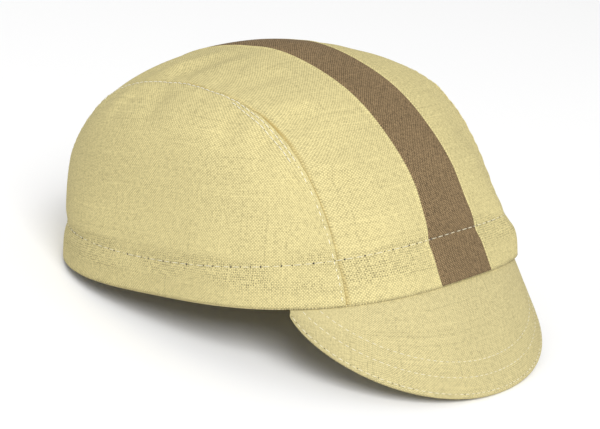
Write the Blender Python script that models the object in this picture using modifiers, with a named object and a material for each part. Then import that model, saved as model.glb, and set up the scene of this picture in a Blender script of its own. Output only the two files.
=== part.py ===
"""Three-panel cycling cap: a centre panel with a tape, two side panels, a turned-up hem and a two-layer peak.

The cap is worked out in its own frame, with the hem's plane flat, the front towards -Y and the wearer's right at -X.
rest() then tips it back onto the rim of its peak and the rear of its hem, as it lies on a table.
"""

import bpy
import numpy as np

# Driving dimensions, in metres and degrees.
HEM_FRONT = 0.0993
HEM_REAR = 0.0987
HEM_HALF_WIDTH = 0.0850
CROWN_HEIGHT = 0.0942
HEM_LIFT = 0.0031
SQUARENESS = 2.54
HEM_DEPTH = 0.0165
PINCH_DEPTH = 0.0012
PINCH_WIDTH = 0.0040
CLOTH = 0.0012
TAPE_WIDTH = 0.0292
TAPE_CLOTH = 0.0010
GAP = 0.0003
PEAK_SPREAD = 48.7
PEAK_LENGTH = 0.0480
PEAK_SLOPE_MIDDLE = 65.5
PEAK_SLOPE_SIDE = 69.5
PEAK_FAN = 62.8
PEAK_ROUNDING = 0.71
PEAK_CORNER_CUT = 0.26
PEAK_END = 0.985
SINK = 0.0005

# Crown sections: latitude above the hem, then what multiplies the front, rear and side reach there.
CROWN_COLUMNS = ("latitude", "front", "rear", "side")
CROWN = (
    (0, 1.000, 1.000, 1.000),
    (12, 0.931, 0.985, 1.020),
    (25, 0.924, 1.060, 1.045),
    (40, 0.891, 1.062, 1.214),
    (55, 0.846, 1.070, 1.409),
    (70, 0.728, 1.133, 1.469),
    (90, 0.590, 1.169, 1.424),
)

# Seams: angle over the top from the front of the hem to its rear, then the angle out to the side.
SEAM_COLUMNS = ("over", "out")
SEAM = (
    (0, 35.0),
    (30, 34.6),
    (60, 32.7),
    (90, 28.6),
    (120, 27.6),
    (150, 29.8),
    (180, 33.7),
)
SIDE_PANEL_TURNS = (26.0, 154.0)

# Folds: longitude and latitude of both ends, then half width and height in metres.
FOLD_COLUMNS = ("longitude_1", "latitude_1", "longitude_2", "latitude_2", "half_width", "height")
FOLDS = (
    (-52, 43, -40, 49, 0.0050, -0.0012),
    (-54, 49, -41, 54, 0.0060, 0.0010),
    (-44, 29, -31, 28, 0.0050, -0.0012),
    (-43, 35, -30, 33, 0.0070, 0.0009),
    (-36, 17, -27, 15, 0.0045, -0.0010),
    (-101, 58, -95, 78, 0.0060, -0.0012),
    (-116, 54, -110, 76, 0.0070, 0.0010),
    (-74, 61, -58, 67, 0.0060, -0.0009),
    (-64, 53, -64, 46, 0.0060, -0.0008),
    (52, 44, 42, 50, 0.0060, -0.0010),
    (110, 58, 118, 74, 0.0070, -0.0010),
    (150, 14, 168, 17, 0.0060, -0.0010),
    (-150, 14, -166, 18, 0.0060, -0.0010),
    (28, 9, 58, 9, 0.0160, 0.0020),
)

CENTRE_GRID = (48, 16)
SIDE_GRID = (30, 15)
FACING_STEPS = 64
PEAK_GRID = (32, 7)

STRAW = (0.716, 0.658, 0.337, 1.0)
STRAW_SHADE = (0.640, 0.580, 0.290, 1.0)
BROWN = (0.235, 0.165, 0.085, 1.0)


def column(table, names, name):
    return np.array([row[names.index(name)] for row in table], float)


def spline(knots, values, at):
    """Natural cubic spline through the rows of a table."""
    step = np.diff(knots)
    system = np.eye(len(knots))
    bend = np.zeros(len(knots))
    for i in range(1, len(knots) - 1):
        system[i, i - 1 : i + 2] = step[i - 1], 2 * (step[i - 1] + step[i]), step[i]
        bend[i] = 6 * ((values[i + 1] - values[i]) / step[i] - (values[i] - values[i - 1]) / step[i - 1])
    bend = np.linalg.solve(system, bend)
    k = np.clip(np.searchsorted(knots, at, side="right") - 1, 0, len(step) - 1)
    past = at - knots[k]
    left = knots[k + 1] - at
    cubic = (bend[k] * left**3 + bend[k + 1] * past**3) / (6 * step[k])
    start = values[k] / step[k] - bend[k] * step[k] / 6
    end = values[k + 1] / step[k] - bend[k + 1] * step[k] / 6
    return cubic + start * left + end * past


def share(name, latitude):
    return spline(column(CROWN, CROWN_COLUMNS, "latitude"), column(CROWN, CROWN_COLUMNS, name), latitude)


def compass(longitude, latitude):
    """Unit direction from the middle of the hem; longitude 0 is the front, 90 the wearer's left."""
    around, up = np.broadcast_arrays(np.radians(longitude), np.radians(latitude))
    return np.stack([np.sin(around) * np.cos(up), -np.cos(around) * np.cos(up), np.sin(up)], -1)


def over_the_top(over, out):
    """Unit direction; over runs from the front of the hem to its rear, out from the midline to the side."""
    turn, lean = np.broadcast_arrays(np.radians(over), np.radians(out))
    return np.stack([np.sin(lean), -np.cos(lean) * np.cos(turn), np.cos(lean) * np.sin(turn)], -1)


def smooth_crown(ray):
    """The crown's point on each ray: a squared-off oval whose reach follows CROWN, with front and rear lifted."""
    level = np.maximum(np.hypot(ray[..., 0], ray[..., 1]), 1e-9)
    cosine = -ray[..., 1] / level
    sine = np.abs(ray[..., 0]) / level
    latitude = np.degrees(np.arcsin(np.clip(ray[..., 2], 0, 1)))
    length = np.where(cosine >= 0, HEM_FRONT * share("front", latitude), HEM_REAR * share("rear", latitude))
    width = HEM_HALF_WIDTH * share("side", latitude)
    reach = level * ((np.abs(cosine) / length) ** SQUARENESS + (sine / width) ** SQUARENESS) ** (-1 / SQUARENESS)
    height = CROWN_HEIGHT * ray[..., 2] + HEM_LIFT * (cosine**2 - sine**2) * level
    return np.stack([np.sign(ray[..., 0]) * reach * sine, -reach * cosine, height], -1)


def outward(surface, ray, step=1e-4):
    """The surface's unit normal at each ray, from two short steps across it."""
    pole = np.where(np.abs(ray[..., 2:]) < 0.8, [0.0, 0.0, 1.0], [1.0, 0.0, 0.0])
    one = np.cross(pole, ray)
    one /= np.linalg.norm(one, axis=-1, keepdims=True)
    two = np.cross(ray, one)
    across = surface(ray + step * one) - surface(ray - step * one)
    up = surface(ray + step * two) - surface(ray - step * two)
    normal = np.cross(across, up)
    return normal / np.linalg.norm(normal, axis=-1, keepdims=True)


def fold_height(point):
    """Sum of the folds: each is a ridge round a line between two places, with a bell-shaped section."""
    total = np.zeros(point.shape[:-1])
    for row in FOLDS:
        fold = dict(zip(FOLD_COLUMNS, row))
        start = smooth_crown(compass(fold["longitude_1"], fold["latitude_1"]))
        line = smooth_crown(compass(fold["longitude_2"], fold["latitude_2"])) - start
        along = np.clip(((point - start) @ line) / (line @ line), 0, 1)
        away = np.linalg.norm(point - start - along[..., None] * line, axis=-1)
        total += fold["height"] * np.exp(-((away / fold["half_width"]) ** 2))
    return total


def crown(ray, out=0.0):
    """The crown's cloth, out metres outside its outer face, with folds and the pinch at the hem's stitches."""
    point = smooth_crown(ray)
    pinch = PINCH_DEPTH * np.exp(-(((CROWN_HEIGHT * ray[..., 2] - HEM_DEPTH) / PINCH_WIDTH) ** 2))
    rise = out + fold_height(point) - pinch
    return point + rise[..., None] * outward(smooth_crown, ray)


def seam_out(over):
    return spline(column(SEAM, SEAM_COLUMNS, "over"), column(SEAM, SEAM_COLUMNS, "out"), over)


def hem_latitude():
    return np.degrees(np.arcsin(HEM_DEPTH / CROWN_HEIGHT))


def peak(across, down, under=0.0):
    """The peak's cloth: across -1 to 1 along the hem, down 0 at the hem to 1 at the rim, under metres below it."""
    across, down = np.broadcast_arrays(np.asarray(across, float), np.asarray(down, float))
    base = smooth_crown(compass(across * PEAK_SPREAD, 0 * across))
    inside = outward(smooth_crown, compass(across * PEAK_SPREAD, 0 * across))
    base = base - inside * CLOTH / 4 - [0, 0, GAP]
    heading = np.radians(PEAK_FAN) * across
    side = np.sin(np.pi * across / 2) ** 2
    slope = np.radians(PEAK_SLOPE_MIDDLE + (PEAK_SLOPE_SIDE - PEAK_SLOPE_MIDDLE) * side)
    length = PEAK_LENGTH * (1 - across**2) ** PEAK_ROUNDING * (1 - PEAK_CORNER_CUT * across**2)
    run = down * length * np.cos(slope)
    drop = down * length * np.sin(slope)
    inward = np.stack([-np.sin(heading) * np.sin(slope), np.cos(heading) * np.sin(slope), -np.cos(slope)], -1)
    return base + np.stack([run * np.sin(heading), -run * np.cos(heading), -drop], -1) + under * inward


def rest_pose():
    """(tilt, shift): the turn that brings the peak's rim and the rear of the hem to one level, and the move that
    sets them on z = 0 with the cap's middle over the origin."""
    rim = peak(np.linspace(-PEAK_END, PEAK_END, 121), 1.0, 2 * CLOTH + GAP)
    rear = smooth_crown(compass(np.linspace(90, 270, 181), np.zeros(181)))
    tilt = 0.0
    for _ in range(20):
        low_rim = tipped(rim, tilt)[tipped(rim, tilt)[:, 2].argmin()]
        low_rear = tipped(rear, tilt)[tipped(rear, tilt)[:, 2].argmin()]
        tilt += (low_rear[2] - low_rim[2]) / (low_rear[1] - low_rim[1])
    back = crown(over_the_top(np.linspace(90, 180, 91), np.zeros(91)), GAP + TAPE_CLOTH)
    middle = (tipped(rim, tilt)[:, 1].min() + tipped(back, tilt)[:, 1].max()) / 2
    return tilt, np.array([0, -middle, -low_rim[2] - SINK])


def tipped(points, tilt):
    """Turned about X, so that the front rises."""
    along = points[..., 1] * np.cos(tilt) + points[..., 2] * np.sin(tilt)
    up = points[..., 2] * np.cos(tilt) - points[..., 1] * np.sin(tilt)
    return np.stack([points[..., 0], along, up], -1)


def rest(points):
    tilt, shift = rest_pose()
    return tipped(points, tilt) + shift


def material(name, colour):
    made = bpy.data.materials.new(name)
    made.use_nodes = True
    shader = made.node_tree.nodes["Principled BSDF"]
    shader.inputs["Base Color"].default_value = colour
    shader.inputs["Roughness"].default_value = 0.85
    shader.inputs["Metallic"].default_value = 0.0
    made.diffuse_color = colour
    return made


def cloth(name, points, colour, thickness, parts, ring=False):
    """One cloth piece: a grid of points as an open surface, thickened inwards, then flattened where it meets z = 0."""
    rows, columns = points.shape[:2]
    index = np.arange(rows * columns).reshape(rows, columns)
    if ring:
        index = np.concatenate([index, index[:1]])
    faces = np.stack([index[:-1, :-1], index[1:, :-1], index[1:, 1:], index[:-1, 1:]], -1).reshape(-1, 4)
    mesh = bpy.data.meshes.new(name)
    mesh.from_pydata(rest(points).reshape(-1, 3).tolist(), [], faces.tolist())
    mesh.materials.append(material(name, colour))
    piece = bpy.data.objects.new(name, mesh)
    parts.objects.link(piece)
    shell = piece.modifiers.new("cloth", "SOLIDIFY")
    shell.thickness = thickness
    shell.offset = -1.0
    settle(piece)
    piece.data.shade_smooth()
    return piece


def settle(piece):
    """Applies the modifiers and flattens the cloth on the table."""
    graph = bpy.context.evaluated_depsgraph_get()
    graph.update()
    solid = bpy.data.meshes.new_from_object(piece.evaluated_get(graph))
    piece.modifiers.clear()
    spare = piece.data
    piece.data = solid
    bpy.data.meshes.remove(spare)
    solid.name = piece.name
    for corner in solid.vertices:
        corner.co.z = max(corner.co.z, 0.0)


def centre_panel_points():
    along, across = CENTRE_GRID
    over = np.linspace(0, 180, along + 1)[:, None]
    out = seam_out(over) - np.degrees(GAP / 2 / HEM_HALF_WIDTH)
    return crown(over_the_top(over, np.linspace(1, -1, across + 1) * out))


def side_panel_points(side):
    """A patch between four edges: the hem, and the seam taken as three of them, blended on the unit sphere."""
    along, up = SIDE_GRID
    margin = np.degrees(GAP / 2 / HEM_HALF_WIDTH)
    u = np.linspace(0, 1, along + 1)[:, None, None]
    v = np.linspace(0, 1, up + 1)[None, :, None]
    first, last = SIDE_PANEL_TURNS

    def edge(over):
        return over_the_top(over, seam_out(over) + margin)

    rise = edge(first * v[..., 0])
    fall = edge(180 - (180 - last) * v[..., 0])
    top = edge(first + (last - first) * u[..., 0])
    front_hem = seam_out(np.array([0.0])) + margin
    rear_hem = 180 - seam_out(np.array([180.0])) - margin
    hem = compass(front_hem + (rear_hem - front_hem) * u[..., 0], 0 * u[..., 0])
    corners = (1 - u) * (1 - v) * rise[:, :1] + u * (1 - v) * fall[:, :1] + (1 - u) * v * rise[:, -1:]
    corners = corners + u * v * fall[:, -1:]
    ray = (1 - v) * hem + v * top + (1 - u) * rise + u * fall - corners
    ray = ray / np.linalg.norm(ray, axis=-1, keepdims=True)
    ray[..., 2] = np.maximum(ray[..., 2], 0.0)
    return crown(ray) * [side, 1, 1] if side > 0 else mirrored(ray)


def mirrored(ray):
    return crown(ray * [-1, 1, 1])[::-1]


def stripe_points():
    """Lines at equal distances from the midline, found on each row of the centre panel."""
    over = np.linspace(0, 180, CENTRE_GRID[0] + 1)
    fine = np.linspace(0, 20, 201)
    reach = crown(over_the_top(over[:, None], fine[None, :]))[..., 0]
    places = np.linspace(1, -1, 5) * TAPE_WIDTH / 2
    out = np.array([np.interp(np.abs(places), row, fine) * np.sign(places) for row in reach])
    return crown(over_the_top(over[:, None], out), GAP + TAPE_CLOTH)


def facing_points():
    around = np.arange(FACING_STEPS)[:, None] * 360 / FACING_STEPS
    return crown(compass(around, np.array([0.0, 0.5, 1.0])[None, :] * hem_latitude()), -CLOTH - GAP)


def peak_points(under):
    along, down = PEAK_GRID
    across = np.sin(np.linspace(-1, 1, along + 1) * np.arcsin(PEAK_END))
    return peak(across[:, None], np.linspace(0, 1, down + 1)[None, :], under)[:, ::-1]


def main():
    for old in list(bpy.data.objects):
        bpy.data.objects.remove(old, do_unlink=True)
    bpy.context.scene.unit_settings.scale_length = 1.0
    parts = bpy.data.collections.new("three_panel_cap")
    bpy.context.scene.collection.children.link(parts)
    cloth("centre_panel", centre_panel_points(), STRAW, CLOTH, parts)
    cloth("side_panel_left", side_panel_points(1), STRAW, CLOTH, parts)
    cloth("side_panel_right", side_panel_points(-1), STRAW, CLOTH, parts)
    cloth("stripe_tape", stripe_points(), BROWN, TAPE_CLOTH, parts)
    cloth("hem_facing", facing_points(), STRAW_SHADE, CLOTH, parts, ring=True)
    cloth("peak_top", peak_points(0.0), STRAW, CLOTH, parts)
    cloth("peak_underside", peak_points(CLOTH + GAP), STRAW_SHADE, CLOTH, parts)


main()
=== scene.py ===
"""Three-panel cycling cap in straw linen with a brown tape: cloth, stitches, light and camera.

It is laid out as a Blender add-on, and is run as a script around the part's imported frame.
"""

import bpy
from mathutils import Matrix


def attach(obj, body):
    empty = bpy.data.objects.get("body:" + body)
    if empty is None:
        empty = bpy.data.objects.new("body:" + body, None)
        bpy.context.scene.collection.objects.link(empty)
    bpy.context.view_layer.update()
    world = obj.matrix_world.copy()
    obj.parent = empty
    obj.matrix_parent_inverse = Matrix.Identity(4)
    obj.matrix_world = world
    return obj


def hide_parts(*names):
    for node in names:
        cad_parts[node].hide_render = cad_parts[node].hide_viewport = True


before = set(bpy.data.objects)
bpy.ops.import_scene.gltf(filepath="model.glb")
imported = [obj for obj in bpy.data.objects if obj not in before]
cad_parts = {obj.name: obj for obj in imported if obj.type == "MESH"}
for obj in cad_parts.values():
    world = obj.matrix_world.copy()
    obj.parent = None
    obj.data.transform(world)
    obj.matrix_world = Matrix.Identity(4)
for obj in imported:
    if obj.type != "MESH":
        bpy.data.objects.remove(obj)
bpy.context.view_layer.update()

import bpy
import numpy as np
from mathutils import Matrix, Vector

bl_info = {
    "name": "Three-panel cap",
    "version": (1, 0, 0),
    "blender": (4, 5, 0),
    "location": "View3D > Sidebar > Cap",
    "description": "Builds a cloth cycling cap with stitches, weave, studio light and camera",
    "category": "Object",
}

# The cap's real sizes, in metres and degrees, as its solids have them.
HEM_FRONT = 0.0993
HEM_REAR = 0.0987
HEM_HALF_WIDTH = 0.0850
CROWN_HEIGHT = 0.0942
HEM_LIFT = 0.0031
SQUARENESS = 2.54
HEM_DEPTH = 0.0165
PINCH_DEPTH = 0.0012
PINCH_WIDTH = 0.0040
CLOTH = 0.0012
TAPE_WIDTH = 0.0292
TAPE_CLOTH = 0.0010
GAP = 0.0003
PEAK_SPREAD = 48.7
PEAK_LENGTH = 0.0480
PEAK_SLOPE_MIDDLE = 65.5
PEAK_SLOPE_SIDE = 69.5
PEAK_FAN = 62.8
PEAK_ROUNDING = 0.71
PEAK_CORNER_CUT = 0.26
PEAK_END = 0.985
PEAK_THICKNESS = 2 * CLOTH + GAP
SINK = 0.0005

CROWN_COLUMNS = ("latitude", "front", "rear", "side")
CROWN = (
    (0, 1.000, 1.000, 1.000),
    (12, 0.931, 0.985, 1.020),
    (25, 0.924, 1.060, 1.045),
    (40, 0.891, 1.062, 1.214),
    (55, 0.846, 1.070, 1.409),
    (70, 0.728, 1.133, 1.469),
    (90, 0.590, 1.169, 1.424),
)

SEAM_COLUMNS = ("over", "out")
SEAM = (
    (0, 35.0),
    (30, 35.2),
    (60, 32.3),
    (90, 27.6),
    (120, 26.7),
    (150, 29.3),
    (180, 33.7),
)
SIDE_PANEL_TURNS = (26.0, 154.0)

FOLD_COLUMNS = ("longitude_1", "latitude_1", "longitude_2", "latitude_2", "half_width", "height")
MAIN_FOLDS = (
    (-52, 43, -40, 49, 0.0050, -0.0012),
    (-54, 49, -41, 54, 0.0060, 0.0010),
    (-44, 29, -31, 28, 0.0050, -0.0012),
    (-43, 35, -30, 33, 0.0070, 0.0009),
    (-36, 17, -27, 15, 0.0045, -0.0010),
    (-101, 58, -95, 78, 0.0060, -0.0012),
    (-116, 54, -110, 76, 0.0070, 0.0010),
    (-74, 61, -58, 67, 0.0060, -0.0009),
    (-64, 53, -64, 46, 0.0060, -0.0008),
    (52, 44, 42, 50, 0.0060, -0.0010),
    (110, 58, 118, 74, 0.0070, -0.0010),
    (150, 14, 168, 17, 0.0060, -0.0010),
    (-150, 14, -166, 18, 0.0060, -0.0010),
    (28, 9, 58, 9, 0.0160, 0.0020),
)
# Finer creases that the solids leave out, with the same columns.
FINE_FOLDS = (
    (-104, 60.5, -104, 74.5, 0.0030, -0.0004),
    (-110, 61, -114, 69, 0.0045, 0.0010),
    (-92, 63, -86, 73, 0.0045, 0.0006),
    (-78, 60, -74, 72, 0.0042, -0.0010),
    (-70, 57, -50, 65, 0.0045, -0.0009),
    (-113, 49, -111, 55, 0.0040, -0.0007),
    (-97, 57, -97, 50, 0.0040, -0.0008),
    (-88, 57, -87, 50, 0.0045, 0.0005),
    (-65, 53, -66, 45, 0.0040, -0.0009),
    (-55, 53, -57, 47, 0.0045, 0.0008),
    (-51, 46, -42, 51, 0.0032, -0.0006),
    (-54, 48, -47, 52.5, 0.0036, 0.0006),
    (-40.5, 30, -31, 29.5, 0.0028, -0.0006),
    (-39.5, 28, -32, 28, 0.0026, 0.0005),
    (-47.5, 29, -43.5, 27.5, 0.0030, 0.0006),
    (-47, 32.5, -43, 30, 0.0030, -0.0006),
    (-40, 33, -30, 33, 0.0040, 0.0006),
    (-36, 16, -26, 16, 0.0034, -0.0003),
    (-55, 43, -54.5, 36, 0.0034, -0.0008),
    (-45, 31, -46, 25, 0.0034, -0.0006),
    (-44, 37, -37, 38, 0.0026, -0.0004),
    (-88, 66, -76, 74, 0.0035, -0.0005),
    (30, 34, 20, 30, 0.0060, -0.0006),
    (55, 53, 57, 47, 0.0045, 0.0007),
    (65, 53, 66, 45, 0.0045, -0.0007),
    (104, 60, 104, 74, 0.0045, -0.0004),
    (97, 57, 97, 50, 0.0045, -0.0006),
    (78, 60, 74, 72, 0.0045, -0.0008),
    (128, 50, 124, 64, 0.0045, -0.0007),
    (-128, 50, -126, 66, 0.0045, -0.0006),
    (30, 5, 56, 5, 0.0100, 0.0024),
    (-24, 11, 24, 11, 0.0110, 0.0016),
    (38, 24, 36, 36, 0.0120, -0.0014),
    (172, 20, 176, 42, 0.0060, -0.0006),
    (-170, 18, -160, 34, 0.0060, 0.0005),
)

# How the cloth is sewn and how it sits, in metres, with turns in degrees.
SHELL = 0.0006
PANEL_LAP = 0.0040
LAP_RISE = 0.0003
LAP_WIDTH = 0.0046
LAP_SLOPE = 0.0010
TUCK_DEPTH = 0.0011
TUCK_REACH = (-0.0003, 0.0006)
ROLL_DEPTH = 0.0012
ROLL_WIDTH = 0.0008
# Half width of the painted shade along the seam's groove.
SEAM_SHADE_WIDTH = 0.00042
SEAM_STIFFNESS = 0.85
SEAM_REACH = 0.0055
HEM_RISE = 0.0022
HEM_RISE_TURN = 88.0
HEM_RISE_SPREAD = 30.0
HEM_FRONT_EXTRA = 0.0012
HEM_FRONT_SPREAD = 50.0
PUCKER_PITCH = 0.0086
PUCKER_HEIGHT = 0.00014
PUCKER_REACH = 0.0050
TAPE_SHELL = 0.0005
TAPE_FLARE = 0.0030
TAPE_FLARE_TURN = 25.0
TAPE_LIP_HEIGHT = 0.00055
TAPE_LIP_WIDTH = 0.0006
TAPE_LIP_AWAY = 0.0005
TAPE_EDGE_DROP = 0.0005
TAPE_EDGE_POWER = 24
TAPE_COLUMNS = 41
TAPE_WALL = TAPE_SHELL * 0.8
FACING_WALL = SHELL * 0.6
FACING_AWAY = 0.0001
FACING_LAYERS = 3.2
FACING_SAG = 0.0007
FACING_TOP = 0.97
FACING_RIPPLE = 0.0002
FACING_RIPPLES = 46
HEM_RADIUS = 0.093
SEAM_ROW_COLUMNS = ("distance_in_front", "distance_behind", "first", "last", "sunk")
SEAM_ROWS = (
    (0.0020, 0.0020, 0.5, 46.0, 0.95),
    (0.0020, 0.0009, 46.0, 179.5, 0.12),
    (0.0038, 0.0021, 46.5, 76.0, 0.05),
)
# The turns between which the rows move from the distance in front to the one behind.
SEAM_TURN = (64.0, 76.0)
# Distance of each row of the peak's stitches from its rim.
PEAK_ROWS = (0.0018, 0.0086, 0.0150)
PEAK_GROOVE = 0.00025
PEAK_GROOVE_WIDTH = 0.0010
PEAK_TUCK = 0.0008
PEAK_TUCKED = -0.03
PEAK_WALL = 0.0005
PEAK_HALF_ARC = np.radians(PEAK_SPREAD + 14) * HEM_HALF_WIDTH
RIM_FULLNESS = 0.75
STITCHED_ACROSS = 0.975
STITCHED_DOWN = 0.03
LOWEST_SEAM_STITCH = 0.012

# How deep each row's threads sink into the cloth, in thread widths.
HEM_SUNK = 0.62
PEAK_SUNK = 0.70
BELOW_SUNK = 0.35

# Radius of the needle holes, and how far they stand out and how thick they are, in metres.
HEM_HOLE = 0.00040
SEAM_HOLE = 0.00016
PEAK_HOLE = 0.00022
HOLE_OUT = 0.00012
HOLE_HALF = 0.00006
HOLE_SPOKE = (0.31, 0.23, 0.92)
FLOOR_GAP = 0.0001

# The photo's view of the cap as it rests here.
VIEW_AZIMUTH = -51.9
VIEW_ELEVATION = 19.3
VIEW_ROLL = 8.4
VIEW_DISTANCE = 0.7317
VIEW_AIM = (-0.0062, -0.0002, 0.0395)
VIEW_LENS = 100.7
VIEW_SENSOR = 36.0
VIEW_CLIP = (0.01, 30.0)

# Each light's name, place in metres, width in metres and power in watts.
LIGHTS = (
    ("key", (-2.10, -2.62, 3.10), 2.4, 191.0),
    ("back", (0.8, 2.6, 2.4), 2.0, 8.0),
)
SKY = 0.55
FLOOR_REACH = 3.0

# How many steps each grid has, one way or both ways.
CENTRE_STEPS = 240
SIDE_STEPS = (200, 90)
RING_STEPS = 360
TURN_STEPS = 6
FACING_STEPS = 26
PEAK_STEPS = (180, 44)


def column(table, names, name):
    """One named column of a table as an array."""
    return np.array([row[names.index(name)] for row in table], float)


def spline(knots, values, at):
    """Natural cubic spline through the rows of a table."""
    step = np.diff(knots)
    system = np.eye(len(knots))
    bend = np.zeros(len(knots))
    for i in range(1, len(knots) - 1):
        system[i, i - 1 : i + 2] = step[i - 1], 2 * (step[i - 1] + step[i]), step[i]
        bend[i] = 6 * ((values[i + 1] - values[i]) / step[i] - (values[i] - values[i - 1]) / step[i - 1])
    bend = np.linalg.solve(system, bend)
    k = np.clip(np.searchsorted(knots, at, side="right") - 1, 0, len(step) - 1)
    past = at - knots[k]
    left = knots[k + 1] - at
    cubic = (bend[k] * left**3 + bend[k + 1] * past**3) / (6 * step[k])
    start = values[k] / step[k] - bend[k] * step[k] / 6
    end = values[k + 1] / step[k] - bend[k + 1] * step[k] / 6
    return cubic + start * left + end * past


def share(name, latitude):
    """One column of the crown's table at each latitude, along a natural spline."""
    return spline(column(CROWN, CROWN_COLUMNS, "latitude"), column(CROWN, CROWN_COLUMNS, name), latitude)


def smooth_step(low, high, at):
    """0 below low, 1 above high, and 3t^2 - 2t^3 between."""
    t = np.clip((at - low) / (high - low), 0, 1)
    return t * t * (3 - 2 * t)


def bell(distance, half_width):
    """exp(-(distance / half width)^2)"""
    return np.exp(-((distance / half_width) ** 2))


def compass(longitude, latitude):
    """Unit direction from the middle of the hem; longitude 0 is the front, 90 the wearer's left."""
    around, up = np.broadcast_arrays(np.radians(longitude), np.radians(latitude))
    return np.stack([np.sin(around) * np.cos(up), -np.cos(around) * np.cos(up), np.sin(up)], -1)


def over_the_top(over, out):
    """Unit direction; over runs from the front of the hem to its rear, out from the midline to the side."""
    turn, lean = np.broadcast_arrays(np.radians(over), np.radians(out))
    return np.stack([np.sin(lean), -np.cos(lean) * np.cos(turn), np.cos(lean) * np.sin(turn)], -1)


def smooth_crown(ray):
    """Point on each ray: around, r = (|cos/length|^n + |sin/width|^n)^(-1/n), and
    z = height * up + lift * cos 2a."""
    level = np.maximum(np.hypot(ray[..., 0], ray[..., 1]), 1e-9)
    cosine = -ray[..., 1] / level
    sine = np.abs(ray[..., 0]) / level
    latitude = np.degrees(np.arcsin(np.clip(ray[..., 2], 0, 1)))
    length = np.where(cosine >= 0, HEM_FRONT * share("front", latitude), HEM_REAR * share("rear", latitude))
    width = HEM_HALF_WIDTH * share("side", latitude)
    both = (np.abs(cosine) / length) ** SQUARENESS + (sine / width) ** SQUARENESS
    reach = level * both ** (-1 / SQUARENESS)
    height = CROWN_HEIGHT * ray[..., 2] + HEM_LIFT * (cosine**2 - sine**2) * level
    return np.stack([np.sign(ray[..., 0]) * reach * sine, -reach * cosine, height], -1)


def outward(surface, ray, step=1e-4):
    """The surface's unit normal at each ray, from two short steps across it."""
    pole = np.where(np.abs(ray[..., 2:]) < 0.8, [0.0, 0.0, 1.0], [1.0, 0.0, 0.0])
    one = np.cross(pole, ray)
    one /= np.linalg.norm(one, axis=-1, keepdims=True)
    two = np.cross(ray, one)
    across = surface(ray + step * one) - surface(ray - step * one)
    up = surface(ray + step * two) - surface(ray - step * two)
    normal = np.cross(across, up)
    return normal / np.linalg.norm(normal, axis=-1, keepdims=True)


def fold_height(point):
    """Sum over the folds of height times a bell of the distance to the line between the fold's two ends."""
    total = np.zeros(point.shape[:-1])
    for row in MAIN_FOLDS + FINE_FOLDS:
        fold = dict(zip(FOLD_COLUMNS, row))
        start = smooth_crown(compass(fold["longitude_1"], fold["latitude_1"]))
        line = smooth_crown(compass(fold["longitude_2"], fold["latitude_2"])) - start
        along = np.clip(((point - start) @ line) / (line @ line), 0, 1)
        away = np.linalg.norm(point - start - along[..., None] * line, axis=-1)
        total += fold["height"] * bell(away, fold["half_width"])
    return total


def seam_out(over):
    """The seam's angle from the midline at each turn over the top, along a natural spline of its table."""
    return spline(column(SEAM, SEAM_COLUMNS, "over"), column(SEAM, SEAM_COLUMNS, "out"), over)


def bearings(ray):
    """(over, out) in degrees of each ray: the inverse of over_the_top."""
    over = np.degrees(np.arctan2(ray[..., 2], -ray[..., 1]))
    return over, np.degrees(np.arcsin(np.clip(ray[..., 0], -1, 1)))


def from_seam(ray, point):
    """Metres from each point to the nearer seam, above 0 on a side panel: the angle past it times the
    point's distance from the middle of the hem."""
    over, out = bearings(ray)
    size = np.linalg.norm(point, axis=-1)
    return np.radians(np.abs(out) - seam_out(np.clip(over, 0, 180))) * size


def above_hem(ray):
    """Height over the hem's bottom edge: the crown's height times the ray's upward share."""
    return CROWN_HEIGHT * ray[..., 2]


def pucker(ray, point):
    """Small ripples across the stitches: height * sin(2 pi along / pitch) * bell(distance / reach)."""
    over, _ = bearings(ray)
    around = np.degrees(np.arctan2(ray[..., 0], -ray[..., 1]))
    size = np.linalg.norm(point, axis=-1)
    along_seam = np.radians(over) * size * 2 * np.pi / PUCKER_PITCH
    along_hem = np.radians(around) * size * 2 * np.pi / PUCKER_PITCH
    near_seam = bell(from_seam(ray, point), PUCKER_REACH)
    near_hem = bell(above_hem(ray) - HEM_DEPTH, PUCKER_REACH)
    seam = np.sin(along_seam + 1.3 * np.sin(along_seam / 3.7)) * near_seam
    hem = np.sin(along_hem + 1.1 * np.sin(along_hem / 4.3)) * near_hem
    return PUCKER_HEIGHT * (seam + 0.7 * hem)


def crown(ray, out=0.0):
    """The crown's cloth, out metres outside its outer face: the smooth crown moved along its normal by
    the folds, the pinch at the hem and the puckers. The seam's layers hold the folds flat by a bell of
    the distance to it."""
    point = smooth_crown(ray)
    pinch = PINCH_DEPTH * bell(above_hem(ray) - HEM_DEPTH, PINCH_WIDTH)
    stiff = 1 - SEAM_STIFFNESS * bell(from_seam(ray, point), SEAM_REACH)
    rise = out + fold_height(point) * stiff - pinch + pucker(ray, point)
    point = point + rise[..., None] * outward(smooth_crown, ray)
    point[..., 2] += hem_rise(ray)
    return point


def hem_rise(ray):
    """How far the hem's bottom edge rises at both sides: a bell of the turn, times the share of the way
    down."""
    around = np.degrees(np.arctan2(np.abs(ray[..., 0]), -ray[..., 1]))
    down = np.clip(1 - above_hem(ray) / HEM_DEPTH, 0, 1)
    return HEM_RISE * bell(around - HEM_RISE_TURN, HEM_RISE_SPREAD) * down


def hem_latitude():
    """The latitude of the hem's stitches: the angle whose sine is hem depth over crown height."""
    return np.degrees(np.arcsin(HEM_DEPTH / CROWN_HEIGHT))


def peak_length(across):
    """Length from hem to rim: a rounded arch, (1 - a^2) to a power, its corners cut by a share of a^2."""
    return PEAK_LENGTH * (1 - across**2) ** PEAK_ROUNDING * (1 - PEAK_CORNER_CUT * across**2)


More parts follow.
